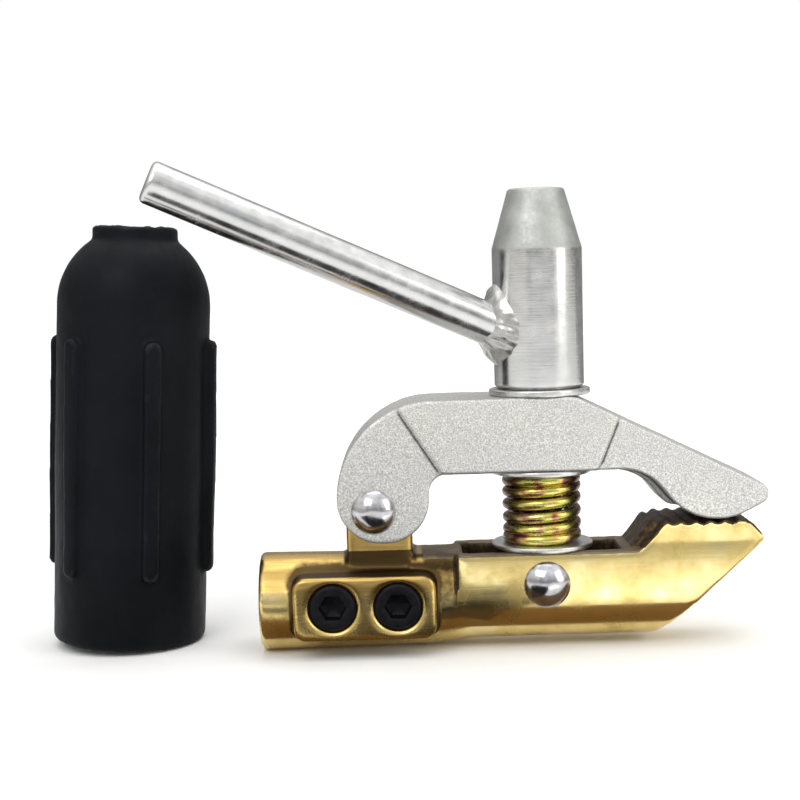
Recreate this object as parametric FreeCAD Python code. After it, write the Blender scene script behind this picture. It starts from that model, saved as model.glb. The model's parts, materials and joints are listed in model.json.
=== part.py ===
import FreeCAD, Part
import math
import os

# Screw-type welding ground clamp with its loose rubber handle sleeve.
#
# Millimetres. The origin is the centre of the cable socket's mouth. +X runs along the socket
# towards the jaw tips, +Z is up along the clamping bolt, and -Y is the side with the set screws.
# A cast brass body carries a cast steel jaw on a riveted pivot. An eye bolt swings on a second
# rivet in the body's slot, goes up through two washers, the spring and the jaw, and the tee nut
# screws down on it to close the jaw.

V = FreeCAD.Vector
UP = (0, 0, 1)
ALONG_X = (1, 0, 0)
ALONG_Y = (0, 1, 0)
SAME_POINT = 1e-4
IN_PLANE = 1e-3
CROSS_HOLE_LENGTH = 50.0
CUT_PAST = 1.0

# Cable socket and body casting
TUBE_MOUTH_RADIUS = 13.2
TUBE_END_RADIUS = 12.7
TUBE_LENGTH = 46.0
MOUTH_EDGE = 0.9
SOCKET_RADIUS = 9.25
SOCKET_DEPTH = 44.0
DRILL_POINT = 2.5
BODY_HALF_WIDTH = 12.4
BODY_START = 52.8
BODY_TOP = 13.1
BELLY_CENTRE_Z = 1.0
BELLY_Z = BELLY_CENTRE_Z - BODY_HALF_WIDTH
TAPER_END = 60.0
TAPER_END_RADIUS = 11.35
BRIDGE_HALF_WIDTH = 9.0
BRIDGE_TOP_Z = 13.0
BRIDGE_EDGE = 2.5

# Pad with the two cable set screws
PAD_X = (9.3, 47.2)
PAD_Z = (-8.0, 9.0)
PAD_FACE_Y = -16.8
PAD_CORNER = 3.4
PAD_EDGE = 1.0
SCREW_X = (19.8, 37.1)
SCREW_Z = 0.8
SCREW_RADIUS = 6.30
SCREW_HOLE_RADIUS = 6.35
SCREW_LENGTH = 6.35
SCREW_SINK = 0.7
HEX_ACROSS_FLATS = 6.35
HEX_DEPTH = 4.2
THREAD_CHAMFER = 0.7

# Lug and pivot of the upper jaw
LUG_X = (23.7, 41.5)
LUG_HALF_WIDTH = 8.0
LUG_TOP_Z = 35.8
LUG_EDGE = 1.6
PIVOT = (31.2, 25.4)
PIVOT_SHANK_RADIUS = 3.60
PIVOT_HEAD_RADIUS = 5.9
PIVOT_HEAD_HEIGHT = 2.9

# Slot, eye bolt and its rivet
SLOT_X = (55.0, 97.0)
SLOT_HALF_WIDTH = 7.5
SLOT_FLOOR_Z = -7.4
SLOT_CORNER = 2.0
BOLT = (76.8, 4.8)
BOLT_RADIUS = 6.35
BOLT_TOP_Z = 90.0
EYE_RADIUS = 8.3
EYE_HALF_WIDTH = 6.5
EYE_EDGE = 0.8
STUD_CHAMFER = 0.9
BOLT_SHANK_RADIUS = 3.95
BOLT_HEAD_RADIUS = 6.15
BOLT_HEAD_HEIGHT = 3.0
RUNNING_CLEARANCE = 0.05

# Lower, serrated jaw on the body's nose
TIP = (135.0, 15.6, 1.2)
NOSE_CORNER = (105.4, BELLY_Z, 6.0)
TOOTH_PITCH = 3.85
TOOTH_DEPTH = 1.3
TOOTH_ROUND = 0.9
TOOTH_PEAK_Z = 20.9
SIDE_PEAK_Z = 20.9
FIRST_TOOTH_X = 108.9
SIDE_TEETH = 6
CORE_TEETH = 7
CORE_START_X = 93.0
CORE_HALF_WIDTH = 8.5
ABOVE_NOSE_Z = 30.0

# Upper jaw casting
JAW_TOP_Z = 54.6
JAW_UNDER_Z = 34.9
JAW_FLAT_END_X = 85.1
JAW_LEFT_X = 21.6
JAW_BACK_RADIUS = 26.0
ARM_HALF_WIDTH = 12.0
BLOCK_HALF_WIDTH = 13.0
EYE_LOW_Z = 16.8
EYE_RIGHT_X = 46.1
EYE_OUTER_RADIUS = 11.7
FORK_HALF_WIDTH = 8.25
FORK_RADIUS = 13.0
JAW_EDGE = 0.8
JAW_SLOT_X = (69.6, 88.2)
JAW_SLOT_HALF_WIDTH = 7.0
BITE_RIB_HALF_WIDTH = 8.0

# Washers and spring on the bolt
WASHER_RADIUS = 13.6
WASHER_EDGE = 0.25
SPRING_WASHER_BORE = 7.15
SPRING_WASHER_THICKNESS = 1.5
THRUST_WASHER_BORE = 6.75
THRUST_WASHER_THICKNESS = 1.7
FACE_GAP = 0.05
SPRING_RADIUS = 10.65
WIRE_RADIUS = 1.5
SPRING_TURNS = 5.1

# Tee nut and tommy bar
HUB_RADIUS = 12.05
HUB_SHOULDER_Z = 93.8
HUB_TOP_Z = 109.7
HUB_TOP_RADIUS = 7.35
HUB_BORE_TOP_Z = 96.0
HUB_DRILL_POINT = 3.0
HUB_CHAMFER = 0.8
BAR_RADIUS = 5.65
BAR_RISE = 23.9
BAR_LEAN = 12.0
BAR_ON_AXIS_Z = 67.8
BAR_REACH = 112.3
BAR_EDGE = 1.1
WELD_ROOT_RADIUS = 8.6
WELD_TOE_RADIUS = 6.3
WELD_IN = 8.0
WELD_OUT = 17.0

# Rubber handle sleeve, standing beside the clamp and leaning slightly towards it
SLEEVE_X = -39.3
SLEEVE_Y = 14.5
SLEEVE_LEAN = 3.2
SLEEVE_LENGTH = 115.0
SLEEVE_RADIUS = 21.1
SLEEVE_WALL = 2.6
SLEEVE_BASE_Z = SLEEVE_RADIUS * math.sin(math.radians(SLEEVE_LEAN)) - TUBE_MOUTH_RADIUS
DOME_RADIUS = 22.0
DOME_DROP = 8.0
COLLAR_RADIUS = 11.7
COLLAR_HEIGHT = 3.3
NECK_RADIUS = 9.2
NECK_DEPTH = 2.0
RIB_COUNT = 6
RIB_FIRST_ANGLE = 23.0
RIB_WIDTH = 4.5
RIB_HEIGHT = 2.5
RIB_ROOT = 1.2
RIB_EDGE = 1.2
RIB_Z = (19.5, 84.5)


def xz(point):
    return V(point[0], 0, point[1])


def rounded_corner(before, corner, after, radius):
    """Start, middle and end of the arc that rounds a corner between two straight runs."""
    back = (before - corner).normalize()
    ahead = (after - corner).normalize()
    half_angle = back.getAngle(ahead) / 2
    inset = radius / math.tan(half_angle)
    bisector = (back + ahead).normalize()
    middle = corner + bisector * (radius / math.sin(half_angle) - radius)
    return corner + back * inset, middle, corner + ahead * inset


def outline(*corners):
    """Closed wire in the XZ plane. Each corner is (x, z), or (x, z, radius) to round it."""
    count = len(corners)
    places = [xz(corner) for corner in corners]
    edges = []
    stops = []
    for k, corner in enumerate(corners):
        if len(corner) == 2:
            stops.append((places[k], places[k]))
            continue
        start, middle, end = rounded_corner(
            V(places[k - 1]), V(places[k]), V(places[(k + 1) % count]), corner[2]
        )
        edges.append(Part.Arc(start, middle, end).toShape())
        stops.append((start, end))
    for k in range(count):
        leave = stops[k][1]
        arrive = stops[(k + 1) % count][0]
        if leave.distanceToPoint(arrive) > SAME_POINT:
            edges.append(Part.makeLine(leave, arrive))
    return Part.Wire(Part.__sortEdges__(edges))


def slab(wire, half_width):
    """An XZ outline made into a solid, equally thick on both sides of the middle plane."""
    face = Part.Face(wire)
    face.translate(V(0, -half_width, 0))
    return face.extrude(V(0, 2 * half_width, 0))


def turned(wire):
    """An XZ outline on the +X side turned about the Z axis."""
    return Part.Face(wire).revolve(V(0, 0, 0), V(*UP), 360)


def rod(radius, start, direction, length):
    return Part.makeCylinder(radius, length, V(*start), V(*direction))


def cross_hole(radius, centre):
    """Cutter for a hole right across the clamp, along Y."""
    return rod(radius, (centre[0], -CROSS_HOLE_LENGTH / 2, centre[1]), ALONG_Y, CROSS_HOLE_LENGTH)


def block(x_range, y_range, z_range):
    size = [high - low for low, high in (x_range, y_range, z_range)]
    return Part.makeBox(*size, V(x_range[0], y_range[0], z_range[0]))


def edges_along(shape, axis):
    """Straight edges of a shape that run along a unit axis."""
    direction = V(*axis)
    straight = [edge for edge in shape.Edges if isinstance(edge.Curve, Part.Line)]
    return [edge for edge in straight if abs(edge.tangentAt(edge.FirstParameter) * direction) > 0.999]


def rim_edges(shape, axis_index, place):
    """Edges that lie wholly in one plane across the X, Y or Z axis."""
    found = []
    for edge in shape.Edges:
        low = (edge.BoundBox.XMin, edge.BoundBox.YMin, edge.BoundBox.ZMin)[axis_index]
        high = (edge.BoundBox.XMax, edge.BoundBox.YMax, edge.BoundBox.ZMax)[axis_index]
        if abs(low - place) < IN_PLANE and abs(high - place) < IN_PLANE:
            found.append(edge)
    return found


# Body casting

def cable_tube():
    tube = Part.makeCone(TUBE_MOUTH_RADIUS, TUBE_END_RADIUS, TUBE_LENGTH, V(0, 0, 0), V(*ALONG_X))
    tube = tube.makeFillet(MOUTH_EDGE, rim_edges(tube, 0, 0.0))
    taper = Part.makeCone(
        TUBE_END_RADIUS, TAPER_END_RADIUS, TAPER_END - TUBE_LENGTH, V(TUBE_LENGTH, 0, 0), V(*ALONG_X)
    )
    return tube.fuse(taper)


def bridge():
    """Flat-topped fill between the lug and the slotted block."""
    fill = block(
        (LUG_X[1] - CUT_PAST, BODY_START + CUT_PAST),
        (-BRIDGE_HALF_WIDTH, BRIDGE_HALF_WIDTH),
        (0.0, BRIDGE_TOP_Z),
    )
    return fill.makeFillet(BRIDGE_EDGE, edges_along(fill, ALONG_X))


def set_screw_pad():
    pad = block(PAD_X, (PAD_FACE_Y, 0), PAD_Z)
    pad = pad.makeFillet(PAD_CORNER, edges_along(pad, ALONG_Y))
    return pad.makeFillet(PAD_EDGE, rim_edges(pad, 1, PAD_FACE_Y))


def jaw_lug():
    cap_radius = (LUG_X[1] - LUG_X[0]) / 2
    lug = slab(outline(
        (LUG_X[0], 0.0),
        (LUG_X[0], LUG_TOP_Z, cap_radius),
        (LUG_X[1], LUG_TOP_Z, cap_radius),
        (LUG_X[1], 0.0),
    ), LUG_HALF_WIDTH)
    return lug.makeFillet(LUG_EDGE, edges_along(lug, UP))


def serrations(first_x, count, peak_z):
    """Corners of a row of rounded teeth, from the first peak to the last."""
    corners = []
    for tooth in range(count):
        peak_x = first_x + tooth * TOOTH_PITCH
        corners.append((peak_x, peak_z, TOOTH_ROUND))
        if tooth < count - 1:
            corners.append((peak_x + TOOTH_PITCH / 2, peak_z - TOOTH_DEPTH, TOOTH_ROUND))
    return corners


def nose_side():
    """Side face of the slotted block and nose, outside the serrated core."""
    return outline(
        (BODY_START, BELLY_Z),
        (BODY_START, BODY_TOP),
        (101.6, BODY_TOP, 1.5),
        *serrations(FIRST_TOOTH_X, SIDE_TEETH, SIDE_PEAK_Z),
        (131.6, SIDE_PEAK_Z - 1.1, 2.0),
        TIP,
        NOSE_CORNER,
    )


def nose_core():
    """Middle of the nose, where the serrations start further back and stand higher."""
    first_x = FIRST_TOOTH_X - (CORE_TEETH - SIDE_TEETH) * TOOTH_PITCH
    return outline(
        (CORE_START_X, BELLY_Z),
        (CORE_START_X, BODY_TOP),
        (99.2, BODY_TOP, 1.0),
        (103.0, 18.0, 1.8),
        *serrations(first_x, CORE_TEETH, TOOTH_PEAK_Z),
        (131.3, TOOTH_PEAK_Z - 1.3, 2.0),
        TIP,
        NOSE_CORNER,
    )


def slotted_nose():
    """The slotted block and nose: straight upper walls and a half-round belly."""
    left_top, right_top = V(0, -BODY_HALF_WIDTH, ABOVE_NOSE_Z), V(0, BODY_HALF_WIDTH, ABOVE_NOSE_Z)
    left, right = V(0, -BODY_HALF_WIDTH, BELLY_CENTRE_Z), V(0, BODY_HALF_WIDTH, BELLY_CENTRE_Z)
    section = Part.Wire([
        Part.makeLine(left_top, left),
        Part.Arc(left, V(0, 0, BELLY_Z), right).toShape(),
        Part.makeLine(right, right_top),
        Part.makeLine(right_top, left_top),
    ])
    length = Part.Face(section).extrude(V(TIP[0] + CUT_PAST, 0, 0))
    profile = slab(nose_side(), BODY_HALF_WIDTH + CUT_PAST).fuse(slab(nose_core(), CORE_HALF_WIDTH))
    return profile.common(length)


def bolt_slot():
    slot = block(SLOT_X, (-SLOT_HALF_WIDTH, SLOT_HALF_WIDTH), (SLOT_FLOOR_Z, ABOVE_NOSE_Z))
    return slot.makeFillet(SLOT_CORNER, edges_along(slot, UP))


def cable_bore():
    """Blind cable socket with a drilled end."""
    bore = turned(outline(
        (0.0, 0.0),
        (SOCKET_RADIUS, 0.0),
        (SOCKET_RADIUS, SOCKET_DEPTH),
        (0.0, SOCKET_DEPTH + DRILL_POINT),
    ))
    bore.rotate(V(0, 0, 0), V(*ALONG_Y), 90)
    return bore


def screw_hole(x):
    """Tapped hole from the pad's face into the cable socket, with its countersunk edge."""
    hole = rod(SCREW_HOLE_RADIUS, (x, PAD_FACE_Y - CUT_PAST, SCREW_Z), ALONG_Y, CUT_PAST - PAD_FACE_Y)
    sink = Part.makeCone(
        SCREW_HOLE_RADIUS + THREAD_CHAMFER, SCREW_HOLE_RADIUS, THREAD_CHAMFER,
        V(x, PAD_FACE_Y, SCREW_Z), V(*ALONG_Y),
    )
    return hole.fuse(sink)


def brass_body():
    body = cable_tube().fuse([set_screw_pad(), jaw_lug(), bridge(), slotted_nose()]).removeSplitter()
    rivet_holes = [cross_hole(PIVOT_SHANK_RADIUS, PIVOT), cross_hole(BOLT_SHANK_RADIUS, BOLT)]
    screw_holes = [screw_hole(x) for x in SCREW_X]
    return body.cut([cable_bore(), bolt_slot()] + rivet_holes + screw_holes)


# Rivets and set screws

def rivet(centre, shank_radius, half_grip, head_radius, head_height):
    """Plain shank across the clamp with a domed head at each end."""
    dome_radius = (head_radius ** 2 + head_height ** 2) / (2 * head_height)
    dome_corner = (head_radius ** 2 + head_height ** 2) / (2 * head_radius)
    end = half_grip + head_height
    shape = turned(outline(
        (0.0, -end),
        (dome_corner, -end, dome_radius),
        (head_radius, -half_grip),
        (shank_radius, -half_grip),
        (shank_radius, half_grip),
        (head_radius, half_grip),
        (dome_corner, end, dome_radius),
        (0.0, end),
    ))
    shape.rotate(V(0, 0, 0), V(*ALONG_X), 90)
    shape.translate(xz(centre))
    return shape


def pivot_rivet():
    half_grip = ARM_HALF_WIDTH + 2 * FACE_GAP
    return rivet(PIVOT, PIVOT_SHANK_RADIUS, half_grip, PIVOT_HEAD_RADIUS, PIVOT_HEAD_HEIGHT)


def bolt_rivet():
    return rivet(BOLT, BOLT_SHANK_RADIUS, BODY_HALF_WIDTH, BOLT_HEAD_RADIUS, BOLT_HEAD_HEIGHT)


def hex_prism(across_flats, length):
    corner = across_flats / math.sqrt(3)
    points = [
        V(corner * math.cos(math.radians(60 * k)), corner * math.sin(math.radians(60 * k)), 0)
        for k in range(6)
    ]
    return Part.Face(Part.makePolygon(points + points[:1])).extrude(V(0, 0, length))


def set_screw(x):
    """Cup-point set screw with a hex socket, just below the pad's face."""
    face_y = PAD_FACE_Y + SCREW_SINK
    screw = turned(outline(
        (0.0, 0.0),
        (SCREW_RADIUS - THREAD_CHAMFER, 0.0),
        (SCREW_RADIUS, THREAD_CHAMFER),
        (SCREW_RADIUS, SCREW_LENGTH - THREAD_CHAMFER),
        (SCREW_RADIUS - THREAD_CHAMFER, SCREW_LENGTH),
        (0.0, SCREW_LENGTH),
    ))
    screw = screw.cut(hex_prism(HEX_ACROSS_FLATS, HEX_DEPTH))
    screw.rotate(V(0, 0, 0), V(*ALONG_X), -90)
    screw.translate(V(x, face_y, SCREW_Z))
    return screw


# Upper jaw casting

def jaw_profile():
    return outline(
        (JAW_LEFT_X, JAW_TOP_Z, JAW_BACK_RADIUS),
        (JAW_LEFT_X, EYE_LOW_Z, EYE_OUTER_RADIUS),
        (EYE_RIGHT_X, EYE_LOW_Z, EYE_OUTER_RADIUS),
        (EYE_RIGHT_X, JAW_UNDER_Z, 5.0),
        (103.7, JAW_UNDER_Z, 13.5),
        (118.0, 16.6, 16.5),
        (139.5, 27.6, 2.9),
        (JAW_FLAT_END_X, JAW_TOP_Z, 8.0),
    )


def jaw_block():
    """The wider middle of the jaw, between its two slanted creases."""
    return outline(
        (38.0, 53.0),
        (49.6, JAW_UNDER_Z),
        (90.6, JAW_UNDER_Z),
        (97.3, 51.0),
        (97.3, JAW_TOP_Z),
        (38.0, JAW_TOP_Z),
    )


def bite_rib():
    """Thicker middle of the nose's underside, just behind the bite."""
    return outline(
        (93.5, JAW_UNDER_Z + 0.5),
        (103.0, 32.8, 14.0),
        (109.2, 24.9, 4.0),
        (116.0, 24.0),
        (112.0, 36.0),
        (93.5, 38.0),
    )


def fork_gap():
    """Space between the jaw's two cheeks, which turns around the body's lug."""
    half = FORK_HALF_WIDTH
    ring = rod(FORK_RADIUS, (PIVOT[0], -half, PIVOT[1]), ALONG_Y, 2 * half)
    below = block((PIVOT[0] - 30.0, PIVOT[0] + FORK_RADIUS), (-half, half), (0.0, PIVOT[1]))
    return ring.fuse(below)


def upper_jaw():
    arms = slab(jaw_profile(), ARM_HALF_WIDTH)
    rims = rim_edges(arms, 1, ARM_HALF_WIDTH) + rim_edges(arms, 1, -ARM_HALF_WIDTH)
    arms = arms.makeFillet(JAW_EDGE, rims)
    wide = slab(jaw_block(), BLOCK_HALF_WIDTH).common(slab(jaw_profile(), BLOCK_HALF_WIDTH))
    jaw = arms.fuse([wide, slab(bite_rib(), BITE_RIB_HALF_WIDTH)])
    slot = block(
        JAW_SLOT_X,
        (-JAW_SLOT_HALF_WIDTH, JAW_SLOT_HALF_WIDTH),
        (JAW_UNDER_Z - CUT_PAST, JAW_TOP_Z + CUT_PAST),
    )
    slot = slot.makeFillet(JAW_SLOT_HALF_WIDTH - 0.1, edges_along(slot, UP))
    hole = cross_hole(PIVOT_SHANK_RADIUS + RUNNING_CLEARANCE, PIVOT)
    return jaw.cut([fork_gap(), slot, hole])


# Clamping bolt, washers, spring and tee nut

def eye_bolt():
    """Stud that rises from an eye on the rivet. Its thread is drawn at the major diameter."""
    eye = rod(EYE_RADIUS, (BOLT[0], -EYE_HALF_WIDTH, BOLT[1]), ALONG_Y, 2 * EYE_HALF_WIDTH)
    rims = rim_edges(eye, 1, EYE_HALF_WIDTH) + rim_edges(eye, 1, -EYE_HALF_WIDTH)
    eye = eye.makeFillet(EYE_EDGE, rims)
    stud = rod(BOLT_RADIUS, (BOLT[0], 0, BOLT[1]), UP, BOLT_TOP_Z - BOLT[1])
    stud = stud.makeChamfer(STUD_CHAMFER, rim_edges(stud, 2, BOLT_TOP_Z))
    return eye.fuse(stud).cut(cross_hole(BOLT_SHANK_RADIUS + RUNNING_CLEARANCE, BOLT))


def washer(bore_radius, base_z, thickness):
    disc = rod(WASHER_RADIUS, (BOLT[0], 0, base_z), UP, thickness)
    disc = disc.makeFillet(WASHER_EDGE, rim_edges(disc, 2, base_z + thickness))
    return disc.cut(rod(bore_radius, (BOLT[0], 0, base_z - CUT_PAST), UP, thickness + 2 * CUT_PAST))


def lower_spring_washer():
    return washer(SPRING_WASHER_BORE, BODY_TOP + FACE_GAP, SPRING_WASHER_THICKNESS)


def upper_spring_washer():
    base_z = JAW_UNDER_Z - SPRING_WASHER_THICKNESS
    return washer(SPRING_WASHER_BORE, base_z, SPRING_WASHER_THICKNESS)


def thrust_washer():
    return washer(THRUST_WASHER_BORE, JAW_TOP_Z + FACE_GAP, THRUST_WASHER_THICKNESS)


def compression_spring():
    """Closed coil spring squeezed between its two washers, right-hand wound."""
    coil_radius = SPRING_RADIUS - WIRE_RADIUS
    low_z = BODY_TOP + SPRING_WASHER_THICKNESS + 2 * FACE_GAP + WIRE_RADIUS
    high_z = JAW_UNDER_Z - SPRING_WASHER_THICKNESS - FACE_GAP - WIRE_RADIUS
    pitch = (high_z - low_z) / SPRING_TURNS
    helix = Part.makeHelix(pitch, high_z - low_z, coil_radius)
    section = Part.Wire(Part.makeCircle(WIRE_RADIUS, V(coil_radius, 0, 0), V(*ALONG_Y)))
    spring = Part.Wire(helix.Edges).makePipeShell([section], True, True)
    spring.translate(V(BOLT[0], 0, low_z))
    return spring


def tee_nut():
    base_z = JAW_TOP_Z + THRUST_WASHER_THICKNESS + 2 * FACE_GAP
    bore_radius = BOLT_RADIUS + RUNNING_CLEARANCE
    hub = turned(outline(
        (bore_radius, base_z),
        (HUB_RADIUS - HUB_CHAMFER, base_z),
        (HUB_RADIUS, base_z + HUB_CHAMFER),
        (HUB_RADIUS, HUB_SHOULDER_Z),
        (HUB_TOP_RADIUS, HUB_TOP_Z, 0.8),
        (0.0, HUB_TOP_Z),
        (0.0, HUB_BORE_TOP_Z + HUB_DRILL_POINT),
        (bore_radius, HUB_BORE_TOP_Z),
    ))
    hub.translate(V(BOLT[0], 0, 0))
    return hub


def hub_envelope():
    return rod(HUB_RADIUS, (BOLT[0], 0, 0), UP, HUB_TOP_Z)


def bar_direction():
    rise = math.radians(BAR_RISE)
    lean = math.radians(BAR_LEAN)
    return (-math.cos(rise) * math.cos(lean), -math.cos(rise) * math.sin(lean), math.sin(rise))


def tommy_bar():
    """Round bar, saddle-cut to the hub, with a rounded free end."""
    start = (BOLT[0], 0, BAR_ON_AXIS_Z)
    bar = rod(BAR_RADIUS, start, bar_direction(), BAR_REACH)
    far_end = V(*start) + V(*bar_direction()) * BAR_REACH
    rims = [edge for edge in bar.Edges if edge.BoundBox.Center.distanceToPoint(far_end) < 1.0]
    return bar.makeFillet(BAR_EDGE, rims).cut(hub_envelope())


def weld_bead():
    """Weld fillet around the root of the bar."""
    start = V(BOLT[0], 0, BAR_ON_AXIS_Z)
    direction = V(*bar_direction())
    root = start + direction * WELD_IN
    bead = Part.makeCone(WELD_ROOT_RADIUS, WELD_TOE_RADIUS, WELD_OUT - WELD_IN, root, direction)
    bar = rod(BAR_RADIUS, start, direction, BAR_REACH)
    return bead.cut([hub_envelope(), bar])


# Rubber handle sleeve

def sleeve_shell():
    top = SLEEVE_LENGTH
    collar_base = top - COLLAR_HEIGHT
    inner = SLEEVE_RADIUS - SLEEVE_WALL
    return turned(outline(
        (inner, 0.0),
        (SLEEVE_RADIUS, 0.0, 1.6),
        (SLEEVE_RADIUS, collar_base - DOME_DROP, DOME_RADIUS),
        (COLLAR_RADIUS - 0.3, collar_base),
        (COLLAR_RADIUS, collar_base),
        (COLLAR_RADIUS, top, 0.6),
        (NECK_RADIUS, top),
        (NECK_RADIUS, collar_base - NECK_DEPTH),
        (inner, collar_base - NECK_DEPTH - DOME_DROP, DOME_RADIUS - SLEEVE_WALL),
    ))


def sleeve_rib(angle):
    """Rounded grip rib that stands out of the sleeve's side."""
    half = RIB_WIDTH / 2
    low, high = RIB_Z
    face_y = -SLEEVE_RADIUS - RIB_HEIGHT
    rib = block((-half, half), (face_y, RIB_ROOT - SLEEVE_RADIUS), (low, high))
    rib = rib.makeFillet(half - 0.05, edges_along(rib, ALONG_Y))
    rib = rib.makeFillet(RIB_EDGE, rim_edges(rib, 1, face_y))
    rib.rotate(V(0, 0, 0), V(*UP), angle)
    return rib


def rubber_sleeve():
    angles = [RIB_FIRST_ANGLE + k * 360.0 / RIB_COUNT for k in range(RIB_COUNT)]
    sleeve = sleeve_shell().fuse([sleeve_rib(angle) for angle in angles])
    base = V(SLEEVE_X, SLEEVE_Y, SLEEVE_BASE_Z)
    sleeve.translate(base)
    sleeve.rotate(base, V(*ALONG_Y), SLEEVE_LEAN)
    return sleeve


def build():
    return {
        "brass_body": brass_body(),
        "pivot_rivet": pivot_rivet(),
        "bolt_rivet": bolt_rivet(),
        "set_screw_rear": set_screw(SCREW_X[0]),
        "set_screw_front": set_screw(SCREW_X[1]),
        "upper_jaw": upper_jaw(),
        "upper_spring_washer": upper_spring_washer(),
        "compression_spring": compression_spring(),
        "lower_spring_washer": lower_spring_washer(),
        "eye_bolt": eye_bolt(),
        "thrust_washer": thrust_washer(),
        "tee_nut": tee_nut(),
        "tommy_bar": tommy_bar(),
        "weld_bead": weld_bead(),
        "rubber_sleeve": rubber_sleeve(),
    }


os.makedirs("parts", exist_ok=True)
for name, shape in build().items():
    shape.exportStep(f"parts/{name}.step")
    print(f"{name}: {len(shape.Solids)} solid, valid {shape.isValid()}, {shape.Volume:.0f} mm3")
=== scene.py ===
import json
import math

import bmesh
import bpy
import numpy as np
from mathutils import Matrix, Vector, noise
from mathutils.bvhtree import BVHTree


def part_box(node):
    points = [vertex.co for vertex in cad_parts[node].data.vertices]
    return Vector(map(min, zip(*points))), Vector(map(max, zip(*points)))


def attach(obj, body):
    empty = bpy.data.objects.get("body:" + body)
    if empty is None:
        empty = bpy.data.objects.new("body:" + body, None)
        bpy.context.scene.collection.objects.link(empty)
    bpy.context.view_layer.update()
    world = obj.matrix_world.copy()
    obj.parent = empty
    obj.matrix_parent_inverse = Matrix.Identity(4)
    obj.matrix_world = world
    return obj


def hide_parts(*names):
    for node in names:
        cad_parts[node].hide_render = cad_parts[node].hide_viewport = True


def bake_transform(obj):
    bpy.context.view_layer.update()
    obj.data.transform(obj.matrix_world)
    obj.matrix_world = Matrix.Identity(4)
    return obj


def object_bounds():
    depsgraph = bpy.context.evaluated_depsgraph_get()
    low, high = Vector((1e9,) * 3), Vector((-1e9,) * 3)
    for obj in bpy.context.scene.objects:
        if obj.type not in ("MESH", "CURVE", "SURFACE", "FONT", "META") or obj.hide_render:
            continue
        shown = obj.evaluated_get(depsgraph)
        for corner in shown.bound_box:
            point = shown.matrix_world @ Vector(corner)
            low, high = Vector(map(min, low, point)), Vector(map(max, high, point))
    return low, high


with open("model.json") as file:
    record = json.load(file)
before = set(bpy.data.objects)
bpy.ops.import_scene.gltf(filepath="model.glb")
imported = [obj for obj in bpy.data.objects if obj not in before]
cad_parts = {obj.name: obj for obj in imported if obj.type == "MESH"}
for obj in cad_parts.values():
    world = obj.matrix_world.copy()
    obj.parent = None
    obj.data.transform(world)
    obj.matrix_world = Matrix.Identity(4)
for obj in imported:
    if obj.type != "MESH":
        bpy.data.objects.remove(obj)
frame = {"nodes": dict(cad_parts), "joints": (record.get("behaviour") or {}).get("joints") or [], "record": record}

# Screw-type welding ground clamp and its loose rubber handle sleeve.
#
# Metres, in the frame's own axes: +X along the cable socket towards the jaws, +Z up along the
# clamping bolt, -Y the side with the set screws. Every CAD node is replaced by a finished piece
# that keeps its place and size; all but the coil spring ride on their bodies.

MM = 0.001
SAME_POINT = 0.001 * MM
UP = Vector((0, 0, 1))
ALONG_Y = Vector((0, 1, 0))
CAD_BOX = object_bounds()

RECORD = frame["record"]
BODY_OF = {node: body for body, members in RECORD["behaviour"]["bodies"].items() for node in members}
SLOT_OF = {part["node"]: part["material_slot"] for part in RECORD["subparts"]}
JOINTS = {joint["name"]: joint for joint in frame["joints"]}
OPENINGS = {space["name"]: space["box_m"] for space in RECORD["physics"]["openings"]}
MOUNTS = {mount["name"]: mount for mount in RECORD["mounts"]}


# Places and sizes read from the frame

def middle(node):
    low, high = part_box(node)
    return (low + high) / 2


def size(node):
    low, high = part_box(node)
    return high - low


# Mesh building

def link_mesh(name, mesh):
    piece = bpy.data.objects.new(name, mesh)
    bpy.context.scene.collection.objects.link(piece)
    return piece


def mesh_piece(name, vertices, faces):
    mesh = bpy.data.meshes.new(name)
    mesh.from_pydata([tuple(v) for v in vertices], [], faces)
    build = bmesh.new()
    build.from_mesh(mesh)
    bmesh.ops.recalc_face_normals(build, faces=build.faces)
    build.to_mesh(mesh)
    build.free()
    return link_mesh(name, mesh)


def weld_points(piece):
    """Joins vertices that lie on each other, such as a ring of radius 0."""
    build = bmesh.new()
    build.from_mesh(piece.data)
    bmesh.ops.remove_doubles(build, verts=build.verts, dist=SAME_POINT)
    bmesh.ops.recalc_face_normals(build, faces=build.faces)
    build.to_mesh(piece.data)
    build.free()


def split_run(start, end, longest):
    """Points from start up to, but without, end, no further apart than longest."""
    count = max(1, math.ceil((end - start).length / longest))
    return [start.lerp(end, k / count) for k in range(count)]


def rounded(corners, longest=1.0 * MM, closed=False, arc_steps=5):
    """Profile through (a, b) or (a, b, radius) corners, with round corners and split long runs."""
    places = [Vector(corner[:2]) for corner in corners]
    count = len(places)
    stops = []
    for k, corner in enumerate(corners):
        if len(corner) == 2:
            stops.append([places[k]])
            continue
        back = (places[k - 1] - places[k]).normalized()
        ahead = (places[(k + 1) % count] - places[k]).normalized()
        half_angle = back.angle(ahead) / 2
        centre = places[k] + (back + ahead).normalized() * corner[2] / math.sin(half_angle)
        first = places[k] + back * corner[2] / math.tan(half_angle) - centre
        last = places[k] + ahead * corner[2] / math.tan(half_angle) - centre
        sweep = first.angle_signed(last)
        turns = [Matrix.Rotation(-sweep * step / arc_steps, 2) for step in range(arc_steps + 1)]
        stops.append([centre + turn @ first for turn in turns])
    points = []
    for k in range(count):
        points += stops[k][:-1]
        if closed or k < count - 1:
            points += split_run(stops[k][-1], stops[(k + 1) % count][0], longest)
        else:
            points.append(stops[k][-1])
    return [tuple(point) for point in points]


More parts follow.
